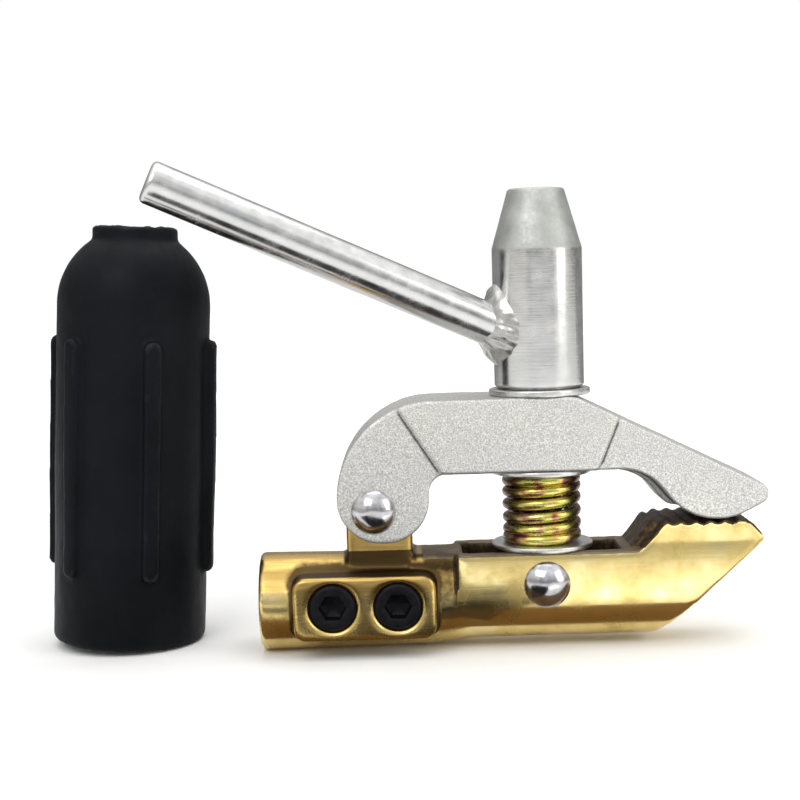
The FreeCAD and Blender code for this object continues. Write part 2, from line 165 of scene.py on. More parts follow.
def turned(profile, steps=96):
    """A profile of (radius, height) turned about Z. A radius of 0 at an end is a pole."""
    rings = []
    vertices = []
    for radius, height in profile:
        if radius < 1e-7:
            rings.append([len(vertices)] * steps)
            vertices.append((0, 0, height))
            continue
        rings.append(list(range(len(vertices), len(vertices) + steps)))
        for k in range(steps):
            angle = 2 * math.pi * k / steps
            vertices.append((radius * math.cos(angle), radius * math.sin(angle), height))
    return np.array(vertices), ring_faces(rings)


def ring_faces(rings, close=True):
    """Faces between neighbouring rings of vertex numbers, all of one length and each closed."""
    faces = []
    following = rings[1:] + rings[:1] if close else rings[1:]
    for ring, after in zip(rings, following):
        for k in range(len(ring)):
            n = (k + 1) % len(ring)
            corners = list(dict.fromkeys((ring[k], after[k], after[n], ring[n])))
            if len(corners) > 2:
                faces.append(corners)
    return faces


def placed(vertices, origin, direction=UP):
    """Vertices built around Z, moved so that Z points along direction through origin."""
    turn = np.array(UP.rotation_difference(direction).to_matrix())
    return vertices @ turn.T + np.array(origin)


def lumps(points, lump_size, seed=0):
    """Smooth random values from -1 to 1, one per point."""
    shift = Vector((seed * 7.3, seed * 3.1, seed * 5.7))
    return np.array([noise.noise(Vector(point) / lump_size + shift) for point in points])


def step_up(values, start, end):
    """0 before start and 1 after end, eased between them."""
    t = np.clip((values - start) / (end - start), 0, 1)
    return t * t * (3 - 2 * t)


def coordinates(mesh):
    flat = np.empty(len(mesh.vertices) * 3)
    mesh.vertices.foreach_get("co", flat)
    return flat.reshape(-1, 3)


def normals(mesh):
    flat = np.empty(len(mesh.vertices) * 3)
    mesh.vertex_normals.foreach_get("vector", flat)
    return flat.reshape(-1, 3)


def edges(mesh):
    flat = np.empty(len(mesh.edges) * 2, np.int32)
    mesh.edges.foreach_get("vertices", flat)
    return flat.reshape(-1, 2)


def neighbour_mean(values, links):
    counts = np.bincount(links.ravel(), minlength=len(values))
    first, second = links.T
    sums = [
        np.bincount(first, column[second], len(values)) + np.bincount(second, column[first], len(values))
        for column in values.T
    ]
    return np.array(sums).T / counts[:, None]


def relaxed(values, links, times):
    for _ in range(times):
        values = (values + neighbour_mean(values, links)) / 2
    return values


def set_coordinates(mesh, points):
    mesh.vertices.foreach_set("co", np.asarray(points, np.float32).ravel())
    mesh.update()


def push_out(piece, heights):
    """Moves each point of a piece outwards by its own height."""
    set_coordinates(piece.data, coordinates(piece.data) + normals(piece.data) * heights[:, None])


def paint(piece, name, values):
    layer = piece.data.attributes.new(name, "FLOAT", "POINT")
    layer.data.foreach_set("value", np.asarray(values, np.float32))


def cast_copy(name, node, voxel):
    """An evenly meshed copy of a CAD node, and its vertices' nearest points on the CAD surface."""
    build = bmesh.new()
    build.from_mesh(frame["nodes"][node].data)
    bmesh.ops.remove_doubles(build, verts=build.verts, dist=SAME_POINT)
    surface = BVHTree.FromBMesh(build)
    mesh = bpy.data.meshes.new(name)
    build.to_mesh(mesh)
    build.free()
    piece = link_mesh(name, mesh)
    remesh = piece.modifiers.new("voxels", "REMESH")
    remesh.mode = "VOXEL"
    remesh.voxel_size = voxel
    piece.data = bpy.data.meshes.new_from_object(
        piece.evaluated_get(bpy.context.evaluated_depsgraph_get())
    )
    piece.modifiers.clear()
    snapped = [surface.find_nearest(Vector(point))[0] for point in coordinates(piece.data)]
    return piece, np.array(snapped)


def curvature(piece, points, voxel):
    """Above 0 in hollows, below 0 on edges, about 1 at a sharp one."""
    links = edges(piece.data)
    rise = ((neighbour_mean(points, links) - points) * normals(piece.data)).sum(axis=1)
    return np.clip(relaxed(rise[:, None] / voxel * 6, links, 2)[:, 0], -1, 1)


def finish(piece, node):
    """Gives a piece its node's material and takes the node's place."""
    mesh = piece.data
    mesh.polygons.foreach_set("use_smooth", [True] * len(mesh.polygons))
    mesh.materials.clear()
    mesh.materials.append(MATERIALS[SLOT_OF[node]])
    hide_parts(node)


def dress(piece, node, sharp=180):
    """Finishes a rigid piece: edges above the sharp angle in degrees, material, place and body."""
    finish(piece, node)
    piece.data.set_sharp_from_angle(angle=math.radians(sharp))
    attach(piece, BODY_OF[node])


# Material building

class Nodes:
    """Short ways to build a node tree."""

    def __init__(self, tree):
        self.tree = tree

    def node(self, kind, **settings):
        made = self.tree.nodes.new(kind)
        for name, value in settings.items():
            setattr(made, name, value)
        return made

    def feed(self, socket, value):
        if isinstance(value, bpy.types.NodeSocket):
            self.tree.links.new(value, socket)
        else:
            socket.default_value = value

    def math(self, operation, first, second):
        made = self.node("ShaderNodeMath", operation=operation)
        self.feed(made.inputs[0], first)
        self.feed(made.inputs[1], second)
        return made.outputs[0]

    def times(self, first, second):
        return self.math("MULTIPLY", first, second)

    def plus(self, first, second):
        return self.math("ADD", first, second)

    def range(self, value, low, high, to_low=0.0, to_high=1.0):
        made = self.node("ShaderNodeMapRange")
        for socket, number in zip(made.inputs, (value, low, high, to_low, to_high)):
            self.feed(socket, number)
        return made.outputs["Result"]

    def ramp(self, value, *stops):
        """Colours blended along a value. Each stop is (position, (r, g, b))."""
        made = self.node("ShaderNodeValToRGB")
        elements = made.color_ramp.elements
        while len(elements) < len(stops):
            elements.new(0.5)
        for element, (position, colour) in zip(elements, stops):
            element.position = position
            element.color = (*colour, 1)
        self.feed(made.inputs["Fac"], value)
        return made.outputs["Color"]

    def mix(self, share, first, second, blend="MIX"):
        made = self.node("ShaderNodeMix", data_type="RGBA", blend_type=blend)
        colours = [socket for socket in made.inputs if socket.type == "RGBA"]
        self.feed(made.inputs["Factor"], share)
        for socket, colour in zip(colours, (first, second)):
            self.feed(socket, as_colour(colour))
        return made.outputs[2]


class Shader(Nodes):
    """A Principled material."""

    def __init__(self, name):
        self.material = bpy.data.materials.new(name)
        self.material.use_nodes = True
        super().__init__(self.material.node_tree)
        self.surface = self.tree.nodes["Principled BSDF"]
        self.place = self.node("ShaderNodeTexCoord").outputs["Object"]

    def set(self, **inputs):
        for name, value in inputs.items():
            self.feed(self.surface.inputs[name.replace("_", " ")], value)

    def around_zero(self, noise_value):
        """A noise value shifted so that it is as often below 0 as above."""
        return self.math("SUBTRACT", noise_value, 0.5)

    def attribute(self, name):
        return self.node("ShaderNodeAttribute", attribute_name=name).outputs["Fac"]

    def stretched(self, scale, place=None):
        made = self.node("ShaderNodeMapping")
        self.feed(made.inputs["Vector"], place or self.place)
        made.inputs["Scale"].default_value = scale
        return made.outputs["Vector"]

    def noise(self, grain, detail=3.0, roughness=0.5, place=None):
        """Noise with features about as large as grain, in metres."""
        made = self.node("ShaderNodeTexNoise")
        self.feed(made.inputs["Vector"], place or self.place)
        made.inputs["Scale"].default_value = 1 / grain
        made.inputs["Detail"].default_value = detail
        made.inputs["Roughness"].default_value = roughness
        return made.outputs["Fac"]

    def mix_value(self, share, first, second):
        made = self.node("ShaderNodeMix")
        self.feed(made.inputs[0], share)
        self.feed(made.inputs[2], first)
        self.feed(made.inputs[3], second)
        return made.outputs[0]

    def bump(self, height, depth):
        made = self.node("ShaderNodeBump")
        made.inputs["Distance"].default_value = depth
        self.feed(made.inputs["Height"], height)
        return made.outputs["Normal"]


def as_colour(value):
    return value if isinstance(value, bpy.types.NodeSocket) else (*value, 1)


def cast_brass():
    """Belt-polished brass with satin flats, dark casting skin in the recesses, and dark lines that are partly
    tarnish and partly painted shade.
    """
    s = Shader("cast brass")
    ragged = s.noise(1.6 * MM, 5, 0.6)
    blotch = s.noise(9 * MM, 4, 0.55)
    fine = s.noise(0.35 * MM, 2)
    streaks = s.noise(1 * MM, 3, 0.6, s.stretched((0.07, 1, 1)))

    polished = s.ramp(
        blotch, (0.32, (0.66, 0.50, 0.18)), (0.50, (0.84, 0.66, 0.27)), (0.68, (0.93, 0.79, 0.40))
    )
    satin_gold = s.ramp(streaks, (0.3, (0.42, 0.28, 0.085)), (0.7, (0.60, 0.42, 0.14)))
    skin_brown = s.ramp(
        ragged, (0.3, (0.022, 0.014, 0.008)), (0.55, (0.085, 0.055, 0.028)), (0.75, (0.22, 0.145, 0.06))
    )
    top_brown = s.ramp(blotch, (0.3, (0.13, 0.10, 0.065)), (0.7, (0.26, 0.20, 0.12)))
    tarnish_and_shade_colour = (0.055, 0.032, 0.014)

    jitter = s.times(s.around_zero(ragged), 0.55)
    satin = s.range(s.plus(s.attribute("satin"), jitter), 0.15, 0.85)
    skin = s.range(s.plus(s.attribute("skin"), jitter), 0.40, 0.60)
    top = s.range(s.plus(s.attribute("top"), jitter), 0.40, 0.60)
    tarnish_and_shade = s.range(s.plus(s.attribute("tarnish_and_shade"), jitter), 0.30, 0.75)
    colour = s.mix(satin, polished, satin_gold)
    # Tarnish together with painted shade: darkens the colour around the pad and lug and in the hollows.
    colour = s.mix(s.times(tarnish_and_shade, 0.92), colour, tarnish_and_shade_colour)
    colour = s.mix(top, colour, top_brown)
    colour = s.mix(skin, colour, skin_brown)

    dull = s.math("MAXIMUM", skin, top)
    polished_rough = s.range(blotch, 0.35, 0.65, 0.30, 0.15)
    satin_rough = s.range(blotch, 0.3, 0.7, 0.24, 0.36)
    rough = s.mix_value(tarnish_and_shade, s.mix_value(satin, polished_rough, satin_rough), 0.42)
    rough = s.mix_value(dull, rough, s.range(fine, 0.3, 0.7, 0.42, 0.66))
    relief = s.plus(s.times(fine, dull), s.times(streaks, 0.10))
    s.set(
        Base_Color=colour, Roughness=rough, Metallic=s.mix_value(dull, 1.0, 0.62),
        Normal=s.bump(relief, 0.10 * MM),
    )
    return s.material


def plated_casting():
    """Grainy plated steel casting with sparkling crystals, and painted shade in its creases and shaded places."""
    s = Shader("plated casting")
    grain = s.noise(0.34 * MM, 3, 0.65)
    coarse = s.noise(1.3 * MM, 3, 0.5)
    cloud = s.noise(14 * MM, 3, 0.5)
    speckle = s.ramp(
        grain, (0.32, (0.36, 0.36, 0.35)), (0.50, (0.58, 0.58, 0.565)), (0.64, (0.86, 0.86, 0.85))
    )
    warm = s.ramp(cloud, (0.35, (0.97, 0.965, 0.96)), (0.7, (1.0, 0.985, 0.95)))
    # Painted shade: the creases and the shaded places are mixed towards dark grey.
    crease = s.range(s.plus(s.attribute("hollow"), s.times(coarse, 0.25)), 0.40, 0.75)
    ragged_shade = s.plus(s.attribute("shade"), s.times(s.around_zero(coarse), 0.3))
    dark = s.math("MAXIMUM", s.times(crease, 0.95), s.range(ragged_shade, 0.1, 1.0, 0.0, 0.75))
    colour = s.mix(dark, s.mix(1.0, speckle, warm, "MULTIPLY"), (0.07, 0.068, 0.065))
    relief = s.plus(s.times(grain, 0.6), coarse)
    s.set(
        Base_Color=colour, Metallic=0.55, Roughness=s.range(grain, 0.35, 0.65, 0.52, 0.34),
        Normal=s.bump(relief, 0.16 * MM),
    )
    return s.material


def bright_zinc():
    """Bright plating: turning marks on the cylinder, a duller cone, spangle and small pits."""
    s = Shader("bright zinc")
    cloud = s.noise(5 * MM, 5, 0.6)
    spangle = s.noise(0.8 * MM, 2, 0.6)
    pits = s.noise(1.1 * MM, 4, 0.7)
    rings = s.noise(1 * MM, 2, 0.5, s.stretched((0.12, 0.12, 2.2)))
    satin = s.attribute("satin")
    bright = s.ramp(cloud, (0.3, (0.56, 0.565, 0.555)), (0.7, (0.72, 0.72, 0.715)))
    dull = s.ramp(cloud, (0.3, (0.38, 0.39, 0.37)), (0.7, (0.52, 0.53, 0.51)))
    spots = s.range(pits, 0.66, 0.74)
    colour = s.mix(s.times(spots, 0.55), s.mix(satin, bright, dull), (0.25, 0.25, 0.24))
    bright_rough = s.range(cloud, 0.35, 0.75, 0.15, 0.30)
    rough = s.mix_value(satin, bright_rough, s.range(spangle, 0.3, 0.7, 0.50, 0.64))
    relief = s.plus(s.times(rings, 0.35), s.times(spangle, s.mix_value(satin, 0.18, 0.5)))
    s.set(
        Base_Color=colour, Roughness=rough, Metallic=1.0, Specular_Tint=(0.72, 0.72, 0.72, 1),
        Normal=s.bump(relief, 0.035 * MM),
    )
    return s.material


def satin_zinc(name, light, grain):
    """Satin plating with faint scratches, for washers, thread and weld."""
    s = Shader(name)
    cloud = s.noise(4 * MM, 4, 0.6)
    fine = s.noise(grain, 3, 0.6)
    dark = tuple(0.72 * part for part in light)
    s.set(
        Base_Color=s.ramp(cloud, (0.3, dark), (0.7, light)), Metallic=1.0,
        Roughness=s.range(fine, 0.3, 0.7, 0.24, 0.42), Normal=s.bump(fine, 0.03 * MM),
    )
    return s.material


def yellow_zinc_wire():
    """Iridescent chromate film, which drifts from gold through green to purple, darkened by painted shade on the
    coil's inner side and flanks.
    """
    s = Shader("yellow zinc wire")
    place = s.node("ShaderNodeAttribute", attribute_name="rest_place").outputs["Vector"]
    film = s.noise(5.5 * MM, 2, 0.5, place)
    fine = s.noise(0.5 * MM, 3, 0.6, place)
    colour = s.ramp(
        film, (0.28, (0.26, 0.09, 0.09)), (0.40, (0.66, 0.47, 0.14)), (0.50, (0.50, 0.52, 0.12)),
        (0.58, (0.72, 0.56, 0.20)), (0.74, (0.30, 0.12, 0.13)),
    )
    # Painted shade on the coil's inner side and at its left and right flanks.
    painted_shade = s.math("MAXIMUM", s.attribute("inner"), s.attribute("flank"))
    s.set(
        Base_Color=s.mix(s.times(painted_shade, 0.92), colour, (0.07, 0.025, 0.02)), Metallic=0.95,
        Roughness=s.range(fine, 0.3, 0.7, 0.17, 0.32), Normal=s.bump(fine, 0.02 * MM),
    )
    return s.material


def polished_rivet():
    """Bright rivet steel with fine scratches."""
    s = Shader("polished rivet")
    cloud = s.noise(2.5 * MM, 3, 0.55)
    scratches = s.noise(0.6 * MM, 3, 0.6, s.stretched((1, 1, 0.2)))
    s.set(
        Base_Color=s.ramp(cloud, (0.3, (0.40, 0.40, 0.42)), (0.7, (0.62, 0.62, 0.64))), Metallic=1.0,
        Roughness=s.range(scratches, 0.3, 0.7, 0.11, 0.24), Normal=s.bump(scratches, 0.012 * MM),
    )
    return s.material


def black_oxide():
    """Blackened screw steel."""
    s = Shader("black oxide")
    cloud = s.noise(2 * MM, 4, 0.6)
    fine = s.noise(0.3 * MM, 2, 0.5)
    s.set(
        Base_Color=s.ramp(cloud, (0.3, (0.003, 0.003, 0.004)), (0.7, (0.008, 0.008, 0.012))),
        Roughness=s.range(fine, 0.3, 0.7, 0.34, 0.5), Specular_IOR_Level=0.16, Normal=s.bump(fine, 0.03 * MM),
    )
    return s.material


def black_rubber():
    """Matt moulded rubber with a faint bloom, scuffs, lighter edges that are partly wear and partly painted
    highlight, and a fine mould texture.
    """
    s = Shader("black rubber")
    bloom = s.noise(22 * MM, 5, 0.6)
    scuff = s.noise(2.4 * MM, 5, 0.7, s.stretched((1, 1, 0.35)))
    fine = s.noise(0.45 * MM, 3, 0.6)
    base = s.ramp(bloom, (0.3, (0.0028, 0.0034, 0.0048)), (0.7, (0.0060, 0.0070, 0.0095)))
    # Lighter edges: partly wear, partly painted highlight, broken up by scuffs.
    worn_and_lit = s.range(s.plus(s.attribute("edge_wear_and_highlight"), s.times(s.around_zero(scuff), 1.2)), 0.45, 0.9)
    colour = s.mix(s.times(worn_and_lit, 0.55), base, (0.035, 0.037, 0.043))
    relief = s.plus(s.times(fine, 0.4), s.times(scuff, 0.6))
    s.set(
        Base_Color=colour, Roughness=s.range(scuff, 0.3, 0.7, 0.40, 0.56), Specular_IOR_Level=0.08,
        Normal=s.bump(relief, 0.06 * MM),
    )
    return s.material


MATERIALS = {
    "cast_brass": cast_brass(),
    "plated_casting": plated_casting(),
    "bright_zinc": bright_zinc(),
    "zinc_washer": satin_zinc("satin zinc", (0.72, 0.72, 0.70), 0.5 * MM),
    "zinc_thread": satin_zinc("thread zinc", (0.50, 0.50, 0.49), 0.4 * MM),
    "weld_metal": satin_zinc("plated weld", (0.58, 0.58, 0.56), 0.7 * MM),
    "yellow_zinc_wire": yellow_zinc_wire(),
    "polished_rivet": polished_rivet(),
    "black_oxide": black_oxide(),
    "black_rubber": black_rubber(),
}


# Body casting

BRASS_VOXEL = 0.58 * MM
WALL_DRAFT = 0.6 * MM
DRAFT_START_Z = 3 * MM
SLOT_HALF_WIDTH = 7.5 * MM
SLOT_FLOOR_Z = -7.4 * MM
CORE_HALF_WIDTH = 8.5 * MM
SOCKET_RADIUS = 9.25 * MM
PAD_HALF_HEIGHT = 8.5 * MM
PAD_CORNER = 3.4 * MM
LUG_HALF_WIDTH = 8.0 * MM
LUG_HALF_LENGTH = 8.9 * MM
LUG_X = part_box("upper_jaw")[0].x + 11.0 * MM
FLAT_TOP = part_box("lower_spring_washer")[0].z
PAD_FACE_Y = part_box("brass_body")[0].y
TUBE_END_X = middle("set_screw_front").x + 10.1 * MM
SLOT_START_X = OPENINGS["slot_behind_bolt"][0][0]
SLOT_END_X = OPENINGS["slot_ahead_of_bolt"][1][0]
STEP_X = SLOT_START_X - 2.5 * MM
BITE_X = SLOT_END_X + 3.0 * MM


def pad_distance(points):
    """How far points stand outside the set screws' pad, looking along Y."""
    rear, front = middle("set_screw_rear"), middle("set_screw_front")
    centre = np.array(((rear.x + front.x) / 2 - 0.2 * MM, rear.z - 0.3 * MM))
    half = np.array(((front.x - rear.x) / 2 + 10.3 * MM, PAD_HALF_HEIGHT))
    outside = np.abs(points[:, (0, 2)] - centre) - half + PAD_CORNER
    inside = np.minimum(outside.max(axis=1), 0)
    return np.linalg.norm(np.maximum(outside, 0), axis=1) + inside - PAD_CORNER


def cast_skin(points, facing):
    """Where the rough casting skin was left: slot, bite, step behind the pad and socket."""
    x, y, z = points.T
    in_slot = (x > SLOT_START_X - 0.8 * MM) & (x < SLOT_END_X + 0.9 * MM) & (z < FLAT_TOP + 1 * MM)
    in_slot &= (abs(y) < SLOT_HALF_WIDTH + 0.45 * MM) & (z > SLOT_FLOOR_Z - 0.5 * MM)
    bite = (x > BITE_X) & (z > FLAT_TOP + 0.6 * MM)
    bite &= (abs(y) < CORE_HALF_WIDTH + 0.4 * MM) | (facing[:, 2] > 0.30)
    step_face = (x > STEP_X - 2 * MM) & (x < STEP_X + 1.4 * MM) & (z > -3 * MM) & (facing[:, 0] < -0.35)
    socket = (np.hypot(y, z) < SOCKET_RADIUS + 0.55 * MM) & (x > 0.6 * MM) & (x < TUBE_END_X + 3 * MM)
    return (in_slot | bite | step_face | socket).astype(float)


def tarnish_and_shade_lines(points, hollow):
    """Dark lines around the lug and the pad, behind the lug, on the neck and in every hollow: partly tarnish,
    partly painted shade along the pad's outline and in the hollows.
    """
    x, y, z = points.T
    lug_gap = np.maximum(abs(x - LUG_X) - LUG_HALF_LENGTH, abs(y) - LUG_HALF_WIDTH)
    lug_line = np.exp(-(lug_gap / (1.3 * MM)) ** 2) * (z < FLAT_TOP + 1.6 * MM) * (z > 7 * MM)
    gap = pad_distance(points)
    on_pad_side = (y < -4 * MM) * (y > PAD_FACE_Y + 1.3 * MM)
    width = (0.9 + 1.3 * step_up(z, 2 * MM, 9 * MM)) * MM
    # The pad line is partly tarnish, partly painted shadow along the pad's top edge.
    pad_line = np.exp(-(np.maximum(gap - 0.5 * MM, 0) / width) ** 2) * (gap > -0.7 * MM) * on_pad_side
    neck = step_up(x, TUBE_END_X - 0.5 * MM, TUBE_END_X + 1.0 * MM) * (x < STEP_X) * step_up(z, -2 * MM, 0.0)
    behind_lug = step_up(x, LUG_X + 9 * MM, LUG_X + 13 * MM) * (x < STEP_X) * step_up(z, 6 * MM, 10 * MM)
    # The hollow term is painted shade.
    return np.maximum.reduce([0.9 * lug_line, pad_line, 0.62 * neck, 0.8 * behind_lug, 0.9 * hollow])


def body_casting():
    piece, points = cast_copy("body_casting", "brass_body", BRASS_VOXEL)
    links = edges(piece.data)
    teeth = step_up(points[:, 0], BITE_X + 4 * MM, BITE_X + 8 * MM) * step_up(points[:, 2], 14 * MM, 17 * MM)
    soft = relaxed(points, links, 6)
    crisp = relaxed(points, links, 2)
    points = crisp * teeth[:, None] + soft * (1 - teeth[:, None])
    set_coordinates(piece.data, points)
    facing = normals(piece.data)
    above_belly = np.clip((points[:, 2] - DRAFT_START_Z) / (FLAT_TOP - DRAFT_START_Z), 0, 1.2)
    draft = step_up(points[:, 0], STEP_X, STEP_X + 3 * MM) * step_up(abs(facing[:, 1]), 0.5, 0.9)
    points[:, 1] -= np.sign(points[:, 1]) * above_belly ** 2 * draft * WALL_DRAFT

    x, y, z = points.T
    skin = relaxed(cast_skin(points, facing)[:, None], links, 1)[:, 0]
    flat = step_up(facing[:, 2], 0.40, 0.66) * step_up(z, FLAT_TOP - 2.4 * MM, FLAT_TOP - 1.6 * MM)
    top = flat * (x > TUBE_END_X - 3.0 * MM) * (x < BITE_X + 6 * MM)
    # Tarnish lines together with painted shade along the pad and in the hollows.
    tarnish_and_shade = tarnish_and_shade_lines(points, np.clip(curvature(piece, points, BRASS_VOXEL), 0, 1))
    upper_tube = step_up(z, 1.5 * MM, 6.5 * MM) * (x < STEP_X)
    pad_face = (y < PAD_FACE_Y + 0.9 * MM) * 0.62

    rough_cast = lumps(points, 2.4 * MM) * 0.10 * MM + lumps(points, 0.9 * MM, 1) * 0.05 * MM
    polish_waves = lumps(points, 11 * MM, 2) * 0.05 * MM
    dull = np.maximum(skin, top)
    points += facing * (rough_cast * dull + polish_waves * (1 - dull))[:, None]
    set_coordinates(piece.data, points)
    paint(piece, "skin", skin)
    paint(piece, "top", top)
    paint(piece, "tarnish_and_shade", tarnish_and_shade)
    paint(piece, "satin", np.maximum(upper_tube, pad_face))
    dress(piece, "brass_body")


# Upper jaw casting

JAW_VOXEL = 0.42 * MM
RIB_SKIN_HALF_WIDTH = 8.2 * MM


def jaw_shade(points, facing, bend):
    """Shaded places: the underside, its lower rim, the thick rib behind the bite, and the top."""
    low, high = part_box("upper_jaw")
    x, y, z = points.T
    under = step_up(-facing[:, 2], 0.3, 0.8) * 0.6
    lower_rim = np.clip(-bend - 0.15, 0, 1) * step_up(-facing[:, 2], 0.15, 0.4)
    rib = (abs(y) < RIB_SKIN_HALF_WIDTH) & (x > high.x - 46 * MM) & (x < high.x - 18 * MM)
    rib &= (z < low.z + 22 * MM) & (facing[:, 2] < 0.3)
    upper = step_up(facing[:, 2], 0.25, 0.55) * 0.25
    return np.maximum.reduce([under, lower_rim, rib.astype(float), upper])


def jaw_casting():
    piece, points = cast_copy("jaw_casting", "upper_jaw", JAW_VOXEL)
    points = relaxed(points, edges(piece.data), 4)
    set_coordinates(piece.data, points)
    facing = normals(piece.data)
    bend = curvature(piece, points, JAW_VOXEL) * 1.6
    shade = jaw_shade(points, facing, bend)
    grain = lumps(points, 1.2 * MM) * 0.055 * MM + lumps(points, 0.6 * MM, 3) * 0.035 * MM
    waves = lumps(points, 9 * MM, 5) * 0.10 * MM
    set_coordinates(piece.data, points + facing * (grain + waves)[:, None])
    # The creases are darkened in the material as painted shade.
    paint(piece, "hollow", np.clip(bend, 0, 1))
    paint(piece, "shade", shade)
    dress(piece, "upper_jaw")


# Rubber handle sleeve

SLEEVE_VOXEL = 0.7 * MM
COLLAR_INSIDE = 11.0 * MM


def rubber_handle():
    piece, points = cast_copy("rubber_handle", "rubber_sleeve", SLEEVE_VOXEL)
    links = edges(piece.data)
    points = relaxed(points, links, 3)
    set_coordinates(piece.data, points)
    facing = normals(piece.data)
    axis = np.array(MOUNTS["sleeve_neck"]["axis"])
    offset = points - np.array(MOUNTS["sleeve_neck"]["pos_m"])
    height = offset @ axis
    radius = np.linalg.norm(offset - np.outer(height, axis), axis=1)
    rim = step_up(height, height.max() - 1.2 * MM, height.max())
    ragged = lumps(points, 2.2 * MM, 4) * rim * 0.55 * MM * (radius < COLLAR_INSIDE)
    above_base = step_up(height, height.min(), height.min() + 8 * MM)
    sag = lumps(points, 26 * MM, 6) * 0.35 * MM * above_base
    skin = lumps(points, 3.5 * MM, 7) * 0.05 * MM
    edge = np.clip(-curvature(piece, points, SLEEVE_VOXEL), 0, 1)
    points = points + facing * (sag + skin)[:, None] + np.outer(ragged, axis)
    points[:, 2] = np.maximum(points[:, 2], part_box("rubber_sleeve")[0].z)
    set_coordinates(piece.data, points)
    # Edges are lightened in the material: partly wear, partly painted highlight.
    paint(piece, "edge_wear_and_highlight", edge)
    dress(piece, "rubber_sleeve")


# Turned and forged pieces

HUB_X = middle("tee_nut").x
HUB_RADIUS = size("tee_nut").x / 2
HUB_WALL = 5.65 * MM
HUB_BORE_RADIUS = HUB_RADIUS - HUB_WALL
HUB_CAP = 10.7 * MM
HUB_DRILL_POINT = 3.0 * MM
HUB_CONE_HEIGHT = 15.9 * MM
HUB_TOP_RADIUS = 7.5 * MM


def hub():
    """Cylinder with a coned top and a blind bore from below."""
    low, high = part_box("tee_nut")
    height = high.z - low.z
    shoulder = height - HUB_CONE_HEIGHT
    vertices, faces = turned(rounded([
        (0.0, height - HUB_CAP),
        (HUB_BORE_RADIUS, height - HUB_CAP - HUB_DRILL_POINT),
        (HUB_BORE_RADIUS, 0.3 * MM, 0.2 * MM),
        (HUB_RADIUS - 0.9 * MM, 0.0, 0.3 * MM),
        (HUB_RADIUS, 0.9 * MM, 0.5 * MM),
        (HUB_RADIUS, shoulder, 2.4 * MM),
        (HUB_TOP_RADIUS, height - 0.05 * MM, 0.9 * MM),
        (0.0, height),
    ], longest=0.9 * MM), 160)
    piece = mesh_piece("hub", placed(vertices, (HUB_X, 0, low.z)), faces)
    points = coordinates(piece.data)
    cone = step_up(points[:, 2], low.z + shoulder - 0.6 * MM, low.z + shoulder + 0.2 * MM)
    push_out(piece, lumps(points, 4 * MM, 8) * 0.035 * MM * (0.35 + cone))
    paint(piece, "satin", cone)
    dress(piece, "tee_nut", 40)


def bar_line():
    """Free end's centre, direction from the hub outwards, and radius of the tommy bar."""
    mesh = frame["nodes"]["tommy_bar"].data
    largest = max(face.area for face in mesh.polygons)
    sides = np.array([face.normal for face in mesh.polygons if face.area > largest / 4])
    direction = Vector(np.linalg.eigh(sides.T @ sides)[1][:, 0])
    if direction.z < 0:
        direction = -direction
    points = coordinates(mesh)
    along = points @ np.array(direction)
    face = points[along > along.max() - 0.01 * MM]
    end = Vector((face.min(axis=0) + face.max(axis=0)) / 2)
    across = points - np.array(end)
    across -= np.outer(across @ np.array(direction), direction)
    return end, direction, float(np.linalg.norm(across, axis=1).max())


BAR_END, BAR_DIRECTION, BAR_RADIUS = bar_line()


def reach_to_hub(offset, radius):
    """Distance from the bar's free end back along it to the hub's surface, for a parallel line."""
    start = BAR_END + offset - Vector((HUB_X, 0, 0))
    ahead = Vector((-BAR_DIRECTION.x, -BAR_DIRECTION.y))
    flat = Vector((start.x, start.y))
    half = flat.dot(ahead) / ahead.length_squared
    rest = (flat.length_squared - radius ** 2) / ahead.length_squared
    return -half - math.sqrt(max(half ** 2 - rest, 0.0))


def tommy_bar():
    """Round bar with a rounded free end, which runs just into the hub."""
    length = reach_to_hub(Vector(), HUB_RADIUS) + 1.0 * MM
    profile = rounded([
        (0.0, 0.0),
        (BAR_RADIUS, 0.0, 1.5 * MM),
        (BAR_RADIUS, length),
        (0.0, length),
    ], longest=1.5 * MM)
    vertices, faces = turned(profile)
    vertices[:, 2] *= -1
    piece = mesh_piece("bar", placed(vertices, BAR_END, BAR_DIRECTION), faces)
    points = coordinates(piece.data)
    end_face = (np.linalg.norm(points - np.array(BAR_END), axis=1) < BAR_RADIUS * 0.93) * 0.5
    push_out(piece, lumps(points, 14 * MM, 9) * 0.05 * MM)
    paint(piece, "satin", 0.06 + end_face)
    dress(piece, "tommy_bar", 50)


